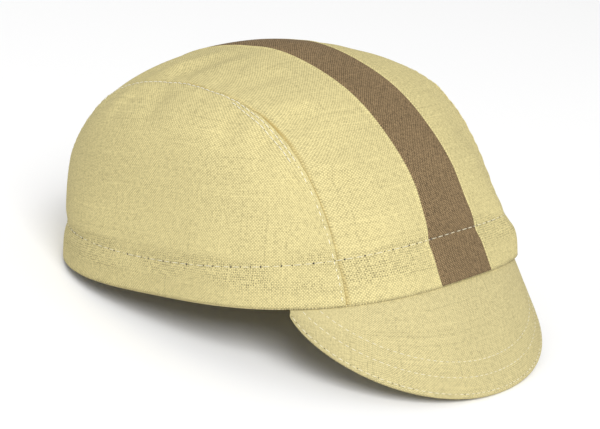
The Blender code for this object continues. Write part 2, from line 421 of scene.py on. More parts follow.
def peak(across, down, under=0.0):
    """The peak's cloth, under metres below its face: across runs from -1 to 1 along the hem, and down from
    0 at the hem to 1 at the rim, on straight lines that fan out and slope."""
    across, down, under = np.broadcast_arrays(np.asarray(across, float), np.asarray(down, float), under)
    base = smooth_crown(compass(across * PEAK_SPREAD, 0 * across))
    inside = outward(smooth_crown, compass(across * PEAK_SPREAD, 0 * across))
    base = base - inside * CLOTH / 4 - [0, 0, GAP]
    heading = np.radians(PEAK_FAN) * across
    side = np.sin(np.pi * across / 2) ** 2
    slope = np.radians(PEAK_SLOPE_MIDDLE + (PEAK_SLOPE_SIDE - PEAK_SLOPE_MIDDLE) * side)
    run = down * peak_length(across) * np.cos(slope)
    drop = down * peak_length(across) * np.sin(slope)
    steep = np.sin(slope)
    inward = np.stack([-np.sin(heading) * steep, np.cos(heading) * steep, -np.cos(slope)], -1)
    away = np.stack([run * np.sin(heading), -run * np.cos(heading), -drop], -1)
    return base + away + under[..., None] * inward


def tipped(points, tilt):
    """Turned about X, so that the front rises."""
    along = points[..., 1] * np.cos(tilt) + points[..., 2] * np.sin(tilt)
    up = points[..., 2] * np.cos(tilt) - points[..., 1] * np.sin(tilt)
    return np.stack([points[..., 0], along, up], -1)


def plain_crown(ray, out):
    """The crown that sets how the cap rests: the smooth crown with the pinch, without folds or puckers."""
    point = smooth_crown(ray)
    rise = out - PINCH_DEPTH * bell(above_hem(ray) - HEM_DEPTH, PINCH_WIDTH)
    return point + rise[..., None] * outward(smooth_crown, ray)


def rest_pose():
    """(tilt, shift): the turn that levels the peak's rim with the rear of the hem, found by repeated
    secants, and the move onto z = 0."""
    rim = peak(np.linspace(-PEAK_END, PEAK_END, 121), 1.0, PEAK_THICKNESS)
    rear = smooth_crown(compass(np.linspace(90, 270, 181), np.zeros(181)))
    tilt = 0.0
    for _ in range(20):
        low_rim = tipped(rim, tilt)[tipped(rim, tilt)[:, 2].argmin()]
        low_rear = tipped(rear, tilt)[tipped(rear, tilt)[:, 2].argmin()]
        tilt += (low_rear[2] - low_rim[2]) / (low_rear[1] - low_rim[1])
    back = plain_crown(over_the_top(np.linspace(90, 180, 91), np.zeros(91)), GAP + TAPE_CLOTH)
    middle = (tipped(rim, tilt)[:, 1].min() + tipped(back, tilt)[:, 1].max()) / 2
    return tilt, np.array([0, -middle, -low_rim[2] - SINK])


REST_TILT, REST_SHIFT = rest_pose()


def rest(points):
    """From the cap's own frame to the table, with the cloth flattened where it would pass through z = 0."""
    placed = tipped(points, REST_TILT) + REST_SHIFT
    placed[..., 2] = np.maximum(placed[..., 2], FLOOR_GAP)
    return placed


# Meshes


def cells(index):
    """Four corners of each cell of a grid of point numbers."""
    return np.stack([index[:-1, :-1], index[1:, :-1], index[1:, 1:], index[:-1, 1:]], -1).reshape(-1, 4)


def grid_faces(rows, columns, ring=False):
    """The faces of a grid of points, with the last row joined to the first where it is a ring."""
    index = np.arange(rows * columns).reshape(rows, columns)
    if ring:
        index = np.concatenate([index, index[:1]])
    return cells(index)


def walked(points, axis):
    """Length walked along one axis of a grid of points: the sum of its steps, from 0."""
    step = np.linalg.norm(np.diff(points, axis=axis), axis=-1)
    start = np.zeros_like(np.take(step, [0], axis))
    return np.concatenate([start, np.cumsum(step, axis=axis)], axis=axis)


def add_mesh(name, points, faces, uv=None, marks=None, shader=None):
    """A mesh object from arrays, with its weave coordinates as the UV map and its marks as attributes."""
    mesh = bpy.data.meshes.new(name)
    mesh.from_pydata(points.reshape(-1, 3).tolist(), [], faces.tolist())
    if uv is not None:
        layer = mesh.uv_layers.new(name="weave")
        loops = np.empty(len(mesh.loops), np.int32)
        mesh.loops.foreach_get("vertex_index", loops)
        layer.data.foreach_set("uv", uv.reshape(-1, 2)[loops].astype(np.float32).ravel())
    for label, values in (marks or {}).items():
        attribute = mesh.attributes.new(label, "FLOAT", "POINT")
        attribute.data.foreach_set("value", np.asarray(values, np.float32).ravel())
    mesh.materials.append(shader)
    mesh.shade_smooth()
    piece = bpy.data.objects.new(name, mesh)
    bpy.context.scene.collection.objects.link(piece)
    return piece


def thicken(piece, thickness):
    """Gives a sheet its thickness, inwards from the face that is drawn."""
    shell = piece.modifiers.new("cloth", "SOLIDIFY")
    shell.thickness = thickness
    shell.offset = -1.0


def hold(piece):
    """Makes a piece ride with the cap, under the root's empty."""
    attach(piece, "root")


def declare(piece, node):
    """Makes a cloth piece ride with the cap and hides the solid of that name."""
    hold(piece)
    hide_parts(node)


def tape_spread(over):
    """How many times wider the tape is than its own width: it opens towards the front of the hem."""
    return 1 + TAPE_FLARE * (1 - smooth_step(0, TAPE_FLARE_TURN, over)) / (TAPE_WIDTH / 2)


def angles_at(over, distances):
    """Angles out from the midline that reach each distance from it, read off the smooth crown."""
    angles = np.linspace(0, 30, 301)
    reach = smooth_crown(over_the_top(over[:, None], angles[None, :]))[..., 0]
    return np.array([np.interp(wanted, row, angles) for wanted, row in zip(distances, reach)])


def centre_out(over, lines, shares):
    """Angles across the centre panel: lines at set distances from the midline, then shares of the way
    from the last line to the panel's edge."""
    inner = angles_at(over, lines * tape_spread(over)[:, None])
    edge = seam_out(over) + np.degrees(PANEL_LAP / HEM_HALF_WIDTH)
    outer = inner[:, -1:] + (edge - inner[:, -1])[:, None] * shares[None, 1:]
    half = np.concatenate([inner, outer], axis=1)
    return np.concatenate([-half[:, :0:-1], half], axis=1)


def centre_lines():
    """Distances from the midline, closer together beside the tape's edges."""
    edge = TAPE_WIDTH / 2
    under = np.linspace(0, edge - 0.0024, 8)
    near = edge + np.linspace(-0.0012, 0.0024, 13)
    beyond = np.linspace(edge + 0.0036, edge + 0.006, 3)
    return np.concatenate([under, near, beyond])


def centre_panel_grid():
    """The centre panel: turns over the top by angles out to the seam, with a lip beside the tape, a bell
    of the distance to it, and its edge tucked under by a smooth step."""
    over = np.linspace(0, 180, CENTRE_STEPS + 1)
    shares = np.linspace(0, 1, 30) ** 0.9
    out = centre_out(over, centre_lines(), shares)
    ray = over_the_top(over[:, None], out)
    base = smooth_crown(ray)
    seam = from_seam(ray, base)
    edge = TAPE_WIDTH / 2 * tape_spread(over[:, None])
    lip = TAPE_LIP_HEIGHT * bell(np.abs(base[..., 0]) - edge - TAPE_LIP_AWAY, TAPE_LIP_WIDTH)
    tuck = -TUCK_DEPTH * smooth_step(*TUCK_REACH, seam)
    return ray, crown(ray, lip + tuck)


def side_panel_rays():
    """A patch on the unit sphere between four edges, the hem and three lengths of the seam: the two pairs
    of edges blended each way, less the blend of the corners."""
    along, up = SIDE_STEPS
    u = np.linspace(0, 1, along + 1)[:, None, None]
    v = (1 - (1 - np.linspace(0, 1, up + 1)) ** 1.35)[None, :, None]
    first, last = SIDE_PANEL_TURNS

    def edge(over):
        """The seam's ray at each turn."""
        return over_the_top(over, seam_out(over))

    rise = edge(first * v[..., 0])
    fall = edge(180 - (180 - last) * v[..., 0])
    top = edge(first + (last - first) * u[..., 0])
    front_hem = seam_out(np.array([0.0]))
    rear_hem = 180 - seam_out(np.array([180.0]))
    hem = compass(front_hem + (rear_hem - front_hem) * u[..., 0], 0 * u[..., 0])
    corners = (1 - u) * (1 - v) * rise[:, :1] + u * (1 - v) * fall[:, :1] + (1 - u) * v * rise[:, -1:]
    corners = corners + u * v * fall[:, -1:]
    ray = (1 - v) * hem + v * top + (1 - u) * rise + u * fall - corners
    ray = ray / np.linalg.norm(ray, axis=-1, keepdims=True)
    ray[..., 2] = np.maximum(ray[..., 2], 0.0)
    return ray


def lap_rise(seam):
    """Height of the folded seam allowance under the side panel's edge: full, then a smooth step down."""
    return LAP_RISE * (1 - smooth_step(LAP_WIDTH - LAP_SLOPE, LAP_WIDTH + LAP_SLOPE, seam))


def side_panel_grid(side):
    """A side panel: the patch of rays on the crown, raised on its folded lap and rolled down at the edge
    by 1 - sqrt(distance / width)."""
    ray = side_panel_rays()
    if side < 0:
        ray = (ray * [-1, 1, 1])[::-1]
    seam = from_seam(ray, smooth_crown(ray))
    rolled = -ROLL_DEPTH * (1 - np.sqrt(np.clip(seam / ROLL_WIDTH, 0, 1)))
    return ray, crown(ray, lap_rise(seam) + rolled)


def cloth_map(points):
    """Weave coordinates in metres on a strip over the top: x, and the length walked from the front."""
    return np.stack([points[..., 0], walked(points[..., 1:], 0)], -1)


def side_map(points):
    """Weave coordinates in metres on a side panel: length walked along from its middle, and up."""
    along = walked(points, 0)
    return np.stack([along - along[len(along) // 2], walked(points, 1)], -1)


def hem_mark(ray):
    """0 at the hem's bottom edge and 1 at its stitches."""
    return above_hem(ray) / HEM_DEPTH


def seam_groove_shade(ray):
    """Where painted shade lies along the seam: 1 in its groove, falling to 0 within a millimetre, a bell of
    the distance to it.
    """
    return bell(from_seam(ray, smooth_crown(ray)), SEAM_SHADE_WIDTH)


def build_panels(cap):
    """The centre panel as a strip over the top, and each side panel as a patch whose edge laps over it."""
    straw = linen("straw_linen", cap.straw, cap.linen_pitch)
    ray, points = centre_panel_grid()
    faces = grid_faces(*points.shape[:2])[:, ::-1]
    # groove carries the painted shade along the seam.
    marks = {"hem": hem_mark(ray), "groove": seam_groove_shade(ray)}
    centre = add_mesh("centre_panel_cloth", rest(points), faces, cloth_map(points), marks, straw)
    thicken(centre, SHELL)
    declare(centre, "centre_panel")
    for side, node in ((1, "side_panel_left"), (-1, "side_panel_right")):
        ray, points = side_panel_grid(side)
        faces = grid_faces(*points.shape[:2])
        marks = {"hem": hem_mark(ray), "groove": seam_groove_shade(ray)}
        panel = add_mesh(node + "_cloth", rest(points), faces, side_map(points), marks, straw)
        thicken(panel, SHELL)
        declare(panel, node)


def tape_rays(lines):
    """Rays over the top through points at set distances from the midline, which spread in front."""
    over = np.linspace(0, 180, CENTRE_STEPS + 1)
    out = angles_at(over, np.abs(lines) * tape_spread(over)[:, None])
    return over_the_top(over[:, None], out * np.sign(lines))


def build_tape(cap):
    """The tape: a flat strip whose edges turn down into the cloth by drop * (x / half width)^power."""
    lines = np.sin(np.linspace(-1, 1, TAPE_COLUMNS) * np.pi / 2) * TAPE_WIDTH / 2
    ray = tape_rays(lines)
    edge = (np.abs(lines) / (TAPE_WIDTH / 2)) ** TAPE_EDGE_POWER
    points = crown(ray, TAPE_SHELL - TAPE_EDGE_DROP * edge[None, :])
    faces = grid_faces(*points.shape[:2])[:, ::-1]
    marks = {"hem": hem_mark(ray)}
    brown = tape_cloth("brown_tape", cap.tape, cap.tape_pitch)
    tape = add_mesh("stripe_tape_cloth", rest(points), faces, cloth_map(points), marks, brown)
    thicken(tape, TAPE_WALL)
    declare(tape, "stripe_tape")


def build_facing(cap):
    """The turned-up hem: half a circle round the fold at the bottom edge, then up the inside nearly to
    the line of stitches, with a small ripple, a sine of the turn, that grows on the way up."""
    around = np.arange(RING_STEPS) * 360 / RING_STEPS
    turn = np.linspace(0, np.pi, TURN_STEPS + 1)[:-1]
    rise = np.concatenate([np.zeros(TURN_STEPS), np.linspace(0, 1, FACING_STEPS)])
    fold = -FACING_WALL * (1 - np.cos(turn)) / 2 * FACING_LAYERS - FACING_AWAY
    inside = np.full(FACING_STEPS, -FACING_AWAY - FACING_WALL * FACING_LAYERS)
    under = np.concatenate([fold, inside])
    sag = np.concatenate([-FACING_SAG * np.sin(turn), np.zeros(FACING_STEPS)])
    ray = compass(around[:, None], rise[None, :] * hem_latitude() * FACING_TOP)
    ripple = FACING_RIPPLE * np.sin(np.radians(around) * FACING_RIPPLES)[:, None] * rise[None, :]
    points = crown(ray, under[None, :] + ripple)
    points[..., 2] += sag[None, :]
    faces = grid_faces(*points.shape[:2], ring=True)
    length = np.radians(around)[:, None] * HEM_RADIUS
    uv = np.stack(np.broadcast_arrays(length, rise[None, :] * HEM_DEPTH), -1)
    marks = {"hem": np.full(points.shape[:2], 0.5)}
    inner = linen("facing_linen", cap.under, cap.linen_pitch)
    facing = add_mesh("hem_facing_cloth", rest(points), faces[:, ::-1], uv, marks, inner)
    thicken(facing, FACING_WALL)
    declare(facing, "hem_facing")


def peak_groove(across, down):
    """Cloth pulled in along each row of stitches, by a bell of the distance to the row."""
    to_rim = (1 - down) * peak_length(across)
    return sum(PEAK_GROOVE * bell(to_rim - row, PEAK_GROOVE_WIDTH) for row in PEAK_ROWS)


def peak_grid(upper):
    """(across, reach, points) of one layer of the peak. Past the rim it turns through a quarter circle to
    the other layer's edge, and the upper one tucks under the hem by a smooth step."""
    along, down = PEAK_STEPS
    across = np.sin(np.linspace(-1, 1, along + 1) * np.arcsin(PEAK_END))[:, None]
    flat = np.linspace(PEAK_TUCKED if upper else 0.0, 1, down + 1)
    half = PEAK_THICKNESS / 2
    turn = np.linspace(0, np.pi / 2, TURN_STEPS + 1)[1:]
    length = np.maximum(peak_length(across), 0.002)
    beyond = 1 + half * RIM_FULLNESS * np.sin(turn) / length
    reach = np.concatenate([np.broadcast_to(flat, (along + 1, down + 1)), beyond], axis=1)
    reach = reach - half * RIM_FULLNESS / length * smooth_step(0.4, 1, reach)
    bulge = np.concatenate([np.zeros(down + 1), half * (1 - np.cos(turn))])
    groove = peak_groove(across, np.minimum(reach, 1))
    if upper:
        tuck = PEAK_TUCK * smooth_step(0.04, -0.02, reach)
        under = bulge + groove + tuck
    else:
        under = 2 * half - bulge - groove * 0.6
    return across, reach, peak(across, reach, under)


def build_peak(cap):
    """Both layers of the peak, each a grid of across by down."""
    # The top layer's colour is the crown's linen darkened, as painted shade.
    for upper, node, shade in ((True, "peak_top", cap.peak), (False, "peak_underside", cap.under)):
        across, reach, points = peak_grid(upper)
        faces = grid_faces(*points.shape[:2])
        faces = faces[:, ::-1] if upper else faces
        arc = PEAK_HALF_ARC * across
        uv = np.stack(np.broadcast_arrays(arc, reach * PEAK_LENGTH), -1)
        marks = {"hem": np.full(points.shape[:2], 3.0)}
        cloth = linen(node + "_linen", shade, cap.linen_pitch)
        layer = add_mesh(node + "_cloth", rest(points), faces, uv, marks, cloth)
        thicken(layer, PEAK_WALL)
        declare(layer, node)


# Rows of stitches


def stitch_points(path, normal, pitch):
    """(starts, ends, up) of the stitches on a path: each runs nearly to the next and rests on the cloth."""
    length = walked(path, 0)
    holes = np.arange(int(length[-1] / pitch)) * pitch

    def at(places, values):
        """The values at these lengths along the path, between its points."""
        return np.stack([np.interp(places, length, values[:, k]) for k in range(3)], -1)

    starts = at(holes + 0.08 * pitch, path)
    ends = at(holes + 0.92 * pitch, path)
    return starts, ends, at(holes + 0.5 * pitch, normal)


def thread_tubes(stitches, width, sunk):
    """Bent threads: a centre line from start to end, raised by a half sine above a depth that differs a
    little from stitch to stitch, and round it a closed six-sided section that thins at both holes. sunk
    is that depth in thread widths."""
    starts, ends, up = stitches
    t = np.linspace(0, 1, 6)
    angle = np.arange(6) * np.pi / 3
    along = ends - starts
    side = np.cross(along, up)
    side /= np.linalg.norm(side, axis=-1, keepdims=True)
    number = np.arange(len(starts))
    depth = sunk + 0.22 * np.sin(number * 1.7) * np.sin(number * 0.43)
    rise = width * (0.6 * np.sin(np.pi * t)[None, :] - depth[:, None])[..., None]
    middle = starts[:, None] + t[:, None] * along[:, None] + rise * up[:, None]
    thick = width / 2 * (0.5 + 0.5 * np.sqrt(np.clip(np.sin(np.pi * t), 0, 1)))
    ring = np.cos(angle)[:, None] * side[:, None, None] + np.sin(angle)[:, None] * up[:, None, None]
    tubes = middle[:, :, None] + thick[:, None, None] * ring
    index = np.arange(len(t) * len(angle)).reshape(len(t), len(angle))
    walls = cells(np.concatenate([index, index[:, :1]], axis=1))
    shut = np.array([[0, 1, 2, 3], [0, 3, 4, 5], [33, 32, 31, 30], [35, 34, 33, 30]])
    faces = np.concatenate([walls, shut])
    return tubes.reshape(-1, 3), (number[:, None, None] * index.size + faces).reshape(-1, 4)


def hole_lenses(stitches, radius):
    """A dark lens on the cloth where each stitch goes in: an eight-sided rim, with a middle point above
    it and one below it. Its first spoke is square to the normal and to a slanting direction."""
    starts, ends, up = stitches
    angle = np.arange(8) * np.pi / 4
    centres = starts - 0.10 * (ends - starts) + HOLE_OUT * up
    side = np.cross(up, HOLE_SPOKE)
    side /= np.linalg.norm(side, axis=-1, keepdims=True)
    other = np.cross(up, side)
    size = radius * (0.75 + 0.25 * np.sin(np.arange(len(starts)) * 2.4))[:, None, None]
    spokes = np.cos(angle)[:, None] * side[:, None] + np.sin(angle)[:, None] * other[:, None]
    rim = centres[:, None] + size * spokes
    middles = centres[:, None] + np.array([[HOLE_HALF], [-HOLE_HALF]]) * up[:, None]
    k = np.arange(8)
    after = (k + 1) % 8
    upper = np.stack([np.full(8, 8), k, after], -1)
    lower = np.stack([np.full(8, 9), after, k], -1)
    fans = np.concatenate([upper, lower])
    faces = (np.arange(len(starts))[:, None, None] * 10 + fans).reshape(-1, 3)
    return np.concatenate([rim, middles], axis=1).reshape(-1, 3), faces


def join(parts):
    """Several (points, faces) as one."""
    before = np.cumsum([0] + [len(points) for points, _ in parts])
    faces = np.concatenate([faces + count for (_, faces), count in zip(parts, before)])
    return np.concatenate([points for points, _ in parts]), faces


def crown_row(ray, out):
    """A path on the placed crown with its normals."""
    path = rest(crown(ray, out))
    return path, tipped(outward(smooth_crown, ray), REST_TILT)


def seam_row(side, row, width):
    """A row of stitches beside a seam, on its folded lap. The distance from the seam changes from the
    one in front to the one behind by a smooth step of the turn."""
    at = dict(zip(SEAM_ROW_COLUMNS, row))
    over = np.linspace(at["first"], at["last"], 900)
    base = smooth_crown(over_the_top(over, seam_out(over)))
    change = at["distance_behind"] - at["distance_in_front"]
    distance = at["distance_in_front"] + change * smooth_step(*SEAM_TURN, over)
    out = seam_out(over) + np.degrees(distance / np.linalg.norm(base, axis=-1))
    ray = over_the_top(over, out)
    kept = ray[:, 2] > LOWEST_SEAM_STITCH
    return crown_row(ray[kept] * [side, 1, 1], lap_rise(distance[kept]) + width * 0.2)


def hem_row(width):
    """The hem's stitches: a line a little higher in front by a bell of the turn, which climbs over the
    tape and over the lap of each seam."""
    around = np.linspace(-180, 180, 3601)
    depth = HEM_DEPTH + HEM_FRONT_EXTRA * bell(around, HEM_FRONT_SPREAD)
    ray = compass(around, np.degrees(np.arcsin(depth / CROWN_HEIGHT)))
    base = smooth_crown(ray)
    seam = from_seam(ray, base)
    over = np.where(seam > 0, lap_rise(seam), 0.0)
    front = tape_spread(bearings(ray)[0]) * TAPE_WIDTH / 2
    over = np.where(np.abs(base[:, 0]) < front, TAPE_SHELL, over)
    return crown_row(ray, over + width * 0.15)


def peak_row(row, under):
    """A row of stitches on the peak, at a set distance in from its rim, with the normals of that face."""
    across = np.sin(np.linspace(-1, 1, 801) * np.arcsin(STITCHED_ACROSS))
    down = 1 - row / peak_length(across)
    kept = down > STITCHED_DOWN
    path = peak(across[kept], down[kept], under)
    above = peak(across[kept], down[kept], under - 0.001)
    return rest(path), tipped((above - path) / 0.001, REST_TILT)


def build_stitches(cap):
    """Threads and needle holes along the seams, the hem and the peak's edge, as closed tubes and lenses."""
    width = cap.thread_width
    sunk = SEAM_ROW_COLUMNS.index("sunk")
    both = [(side, row) for side in (1, -1) for row in SEAM_ROWS]
    seams = [(stitch_points(*seam_row(side, row, width), cap.seam_stitch), row[sunk]) for side, row in both]
    hem = [(stitch_points(*hem_row(width), cap.hem_stitch), HEM_SUNK)]
    over = [stitch_points(*peak_row(row, PEAK_GROOVE * 0.8), cap.peak_stitch) for row in PEAK_ROWS]
    over = [(stitches, PEAK_SUNK) for stitches in over]
    below = [stitch_points(*peak_row(row, PEAK_THICKNESS), cap.peak_stitch) for row in PEAK_ROWS]
    below = [((starts, ends, -up), BELOW_SUNK) for starts, ends, up in below]
    thread = plain("sewing_thread", toned(cap.thread, 1.0), 0.7)
    white = plain("seam_thread", toned(cap.seam_thread, 1.0), 0.7)
    dark = plain("needle_hole", (0.06, 0.05, 0.03, 1.0), 1.0)
    for name, rows, node, finish in (
        ("seam_stitches", seams, "side_panel_right", white),
        ("hem_stitches", hem, "centre_panel", thread),
        ("peak_stitches", over, "peak_top", thread),
        ("peak_stitches_below", below, "peak_underside", thread),
    ):
        tubes = [thread_tubes(stitches, width, depth) for stitches, depth in rows]
        hold(add_mesh(name, *join(tubes), shader=finish))
    for name, rows, radius, node in (
        ("hem_needle_holes", hem, HEM_HOLE, "centre_panel"),
        ("seam_needle_holes", seams, SEAM_HOLE, "side_panel_right"),
        ("peak_needle_holes", over[:1], PEAK_HOLE, "peak_top"),
    ):
        lenses = [hole_lenses(stitches, radius) for stitches, _ in rows]
        hold(add_mesh(name, *join(lenses), shader=dark))


# Materials


def plain(name, colour, roughness):
    """A soft finish of one colour, for thread, needle holes and the floor."""
    made = bpy.data.materials.new(name)
    made.use_nodes = True
    shader = made.node_tree.nodes["Principled BSDF"]
    shader.inputs["Base Color"].default_value = tuple(colour)
    shader.inputs["Roughness"].default_value = roughness
    shader.inputs["Specular IOR Level"].default_value = 0.2
    shader.inputs["Sheen Weight"].default_value = 0.3
    return made


class Wiring:
    """Adds shader nodes in the order that the sums are read."""

    def __init__(self, tree):
        """Keeps the material's node tree."""
        self.tree = tree

    def node(self, kind, **settings):
        """A node of this kind with these settings."""
        made = self.tree.nodes.new(kind)
        for key, value in settings.items():
            setattr(made, key, value)
        return made

    def put(self, made, **inputs):
        """Links or sets a node's inputs. i0 is the first, and Base_Color the one named Base Color."""
        for key, value in inputs.items():
            place = int(key[1:]) if key[1:].isdigit() else key.replace("_", " ")
            if isinstance(value, bpy.types.NodeSocket):
                self.tree.links.new(value, made.inputs[place])
            else:
                made.inputs[place].default_value = value

    def math(self, operation, *values, clamp=False):
        """One sum."""
        made = self.node("ShaderNodeMath", operation=operation, use_clamp=clamp)
        self.put(made, **{f"i{n}": value for n, value in enumerate(values)})
        return made.outputs[0]

    def sine(self, length, pitch):
        """sin(pi length / pitch)"""
        return self.math("SINE", self.math("MULTIPLY", length, np.pi / pitch))

    def mix(self, factor, one, two):
        """One colour at a factor of 0 and two at 1."""
        made = self.node("ShaderNodeMix", data_type="RGBA")
        self.put(made, i0=factor, i6=one, i7=two)
        return made.outputs[2]

    def noise(self, vector, scale, detail):
        """Smooth noise about 0.5."""
        made = self.node("ShaderNodeTexNoise")
        self.put(made, Vector=vector, Scale=scale, Detail=detail)
        return made.outputs["Fac"]

    def ramp(self, value, low, high, start=0.0, end=1.0):
        """Start below low, end above high, and 3t^2 - 2t^3 between."""
        made = self.node("ShaderNodeMapRange", interpolation_type="SMOOTHSTEP")
        self.put(made, i0=value, i1=low, i2=high, i3=start, i4=end)
        return made.outputs[0]

    def stretch(self, vector, x, y):
        """The vector with its x and y each times a number."""
        made = self.node("ShaderNodeVectorMath", operation="MULTIPLY")
        self.put(made, i0=vector, i1=(x, y, 1.0))
        return made.outputs[0]


def woven(name, pitch, colours, checks, slub, gaps, bump, hem_gaps=0.0):
    """Plain weave: warp and weft take turns on top where sin u sin v changes sign, and gaps sit at their
    corners, where |sin u| + |sin v| is small.

    colours are (shade, middle, light). checks is how much paler the warp's turns are, slub how much
    single threads differ, gaps how dark the holes between threads are, bump their depth in metres, and
    hem_gaps how many holes open along the hem's stitches."""
    shade, middle, light = colours
    made = bpy.data.materials.new(name)
    made.use_nodes = True
    wire = Wiring(made.node_tree)
    shader = made.node_tree.nodes["Principled BSDF"]
    uv = wire.node("ShaderNodeUVMap", uv_map="weave").outputs[0]

    # The threads wander by up to 1.6 mm.
    wander = wire.node("ShaderNodeTexNoise")
    wire.put(wander, Vector=uv, Scale=70.0, Detail=2.0)
    bent = wire.node("ShaderNodeVectorMath", operation="MULTIPLY_ADD")
    wire.put(bent, i0=wander.outputs["Color"], i1=(0.0016, 0.0016, 0.0), i2=uv)
    parts = wire.node("ShaderNodeSeparateXYZ")
    wire.put(parts, Vector=bent.outputs[0])
    u, v = parts.outputs[0], parts.outputs[1]

    # Each thread is a ridge, and the one on top shows.
    sine_u = wire.sine(u, pitch)
    sine_v = wire.sine(v, pitch)
    crest_u = wire.math("ABSOLUTE", sine_u)
    crest_v = wire.math("ABSOLUTE", sine_v)
    on_top = wire.ramp(wire.math("MULTIPLY", sine_u, sine_v), -0.25, 0.25)
    warp = wire.math("MULTIPLY", crest_u, wire.math("MULTIPLY_ADD", crest_v, 0.45, 0.55))
    weft = wire.math("MULTIPLY", crest_v, wire.math("MULTIPLY_ADD", crest_u, 0.45, 0.55))
    blend = wire.node("ShaderNodeMix", data_type="FLOAT")
    wire.put(blend, i0=on_top, i2=weft, i3=warp)
    height = blend.outputs[0]

    # Thick and thin threads, cloudy patches and short fibres.
    thread = 1.0 / (1.7 * pitch)
    warp_slub = wire.noise(wire.stretch(bent.outputs[0], thread, 16.0), 1.0, 2.0)
    weft_slub = wire.noise(wire.stretch(bent.outputs[0], 16.0, thread), 1.0, 2.0)
    thick_warp = wire.ramp(warp_slub, 0.60, 0.76)
    thick_weft = wire.ramp(weft_slub, 0.57, 0.72)
    thick = wire.math("ADD", thick_warp, thick_weft, clamp=True)
    thin_warp = wire.ramp(warp_slub, 0.42, 0.26)
    thin_weft = wire.ramp(weft_slub, 0.42, 0.26)
    thin = wire.math("ADD", thin_warp, thin_weft, clamp=True)
    cloud = wire.noise(uv, 30.0, 4.0)
    warp_grain = wire.ramp(wire.noise(wire.stretch(uv, 1500.0, 420.0), 1.0, 1.0), 0.36, 0.64)
    weft_grain = wire.ramp(wire.noise(wire.stretch(uv, 420.0, 1500.0), 1.0, 1.0), 0.36, 0.64)
    grain = wire.math("MULTIPLY", wire.math("ADD", warp_grain, weft_grain), 0.5)

    # All of it together is the tone, from the shade to the light colour.
    tone = wire.math("MULTIPLY_ADD", on_top, checks, wire.math("MULTIPLY", height, 0.35))
    tone = wire.math("MULTIPLY_ADD", cloud, 0.30, tone)
    tone = wire.math("MULTIPLY_ADD", grain, 0.46, wire.math("ADD", tone, 0.03))
    tone = wire.math("MULTIPLY_ADD", thick, slub, tone)
    tone = wire.math("MULTIPLY_ADD", thin, -slub, tone)
    base = wire.mix(wire.ramp(tone, 0.10, 0.75), shade, middle)
    base = wire.mix(wire.ramp(tone, 0.60, 1.25), base, light)

    # The seam's groove is painted with shade: darker and yellower along it.
    groove = wire.node("ShaderNodeAttribute", attribute_name="groove").outputs["Fac"]
    groove_shade_colour = (middle[0] * 0.78, middle[1] * 0.64, middle[2] * 0.38, 1.0)
    base = wire.mix(wire.math("MULTIPLY", groove, 0.85), base, groove_shade_colour)

    # Holes between the threads, and patches of wider ones in a band along the hem's stitches.
    mark = wire.node("ShaderNodeAttribute", attribute_name="hem").outputs["Fac"]
    band = wire.math("MULTIPLY", wire.ramp(mark, 0.22, 0.60), wire.ramp(mark, 1.42, 1.14))
    patch = wire.ramp(wire.noise(wire.stretch(uv, 22.0, 60.0), 1.0, 2.0), 0.36, 0.54)
    some = wire.ramp(wire.noise(wire.stretch(uv, 700.0, 700.0), 1.0, 1.0), 0.40, 0.55)
    hole = wire.ramp(wire.math("ADD", crest_u, crest_v), 0.55, 1.30, 1.0, 0.0)
    base = wire.mix(wire.math("MULTIPLY", hole, gaps), base, toned(shade, 0.40))
    wide_u = wire.math("ABSOLUTE", wire.sine(u, 1.5 * pitch))
    wide_v = wire.math("ABSOLUTE", wire.sine(v, 1.5 * pitch))
    open_gap = wire.ramp(wire.math("ADD", wide_u, wide_v), 0.65, 1.20, 1.0, 0.0)
    loose = wire.math("MULTIPLY", wire.math("MULTIPLY", band, patch), wire.math("MULTIPLY", some, hem_gaps))
    base = wire.mix(wire.math("MULTIPLY", open_gap, loose, clamp=True), base, toned(shade, 0.60))

    # The threads stand proud of the holes.
    relief = wire.math("MULTIPLY_ADD", grain, 0.20, height)
    relief = wire.math("MULTIPLY_ADD", thick, 0.25, relief)
    ridge = wire.node("ShaderNodeBump")
    wire.put(ridge, Strength=1.0, Distance=bump, Height=relief)
    wire.put(shader, Base_Color=base, Roughness=0.88, Normal=ridge.outputs[0])
    shader.inputs["Specular IOR Level"].default_value = 0.12
    shader.inputs["Sheen Weight"].default_value = 0.06
    shader.inputs["Sheen Roughness"].default_value = 0.5
    shader.inputs["Sheen Tint"].default_value = light
    return made


def toned(colour, gain):
    """The colour times a gain, with its fourth number 1."""
    return tuple(min(1.0, c * gain) for c in colour[:3]) + (1.0,)


def linen(name, colour, pitch):
    """Linen of one colour: a plain weave from a darker shade to a lighter one."""
    shades = (toned(colour, 0.58), toned(colour, 1.0), toned(colour, 1.42))
    return woven(name, pitch, shades, 0.50, 0.18, 0.20, 0.00006, hem_gaps=1.05)


def tape_cloth(name, colour, pitch):
    """The brown tape's closer, darker weave."""
    shades = (toned(colour, 0.26), toned(colour, 0.95), toned(colour, 2.3))
    return woven(name, pitch, shades, 0.50, 0.12, 0.40, 0.00009)


# Stage


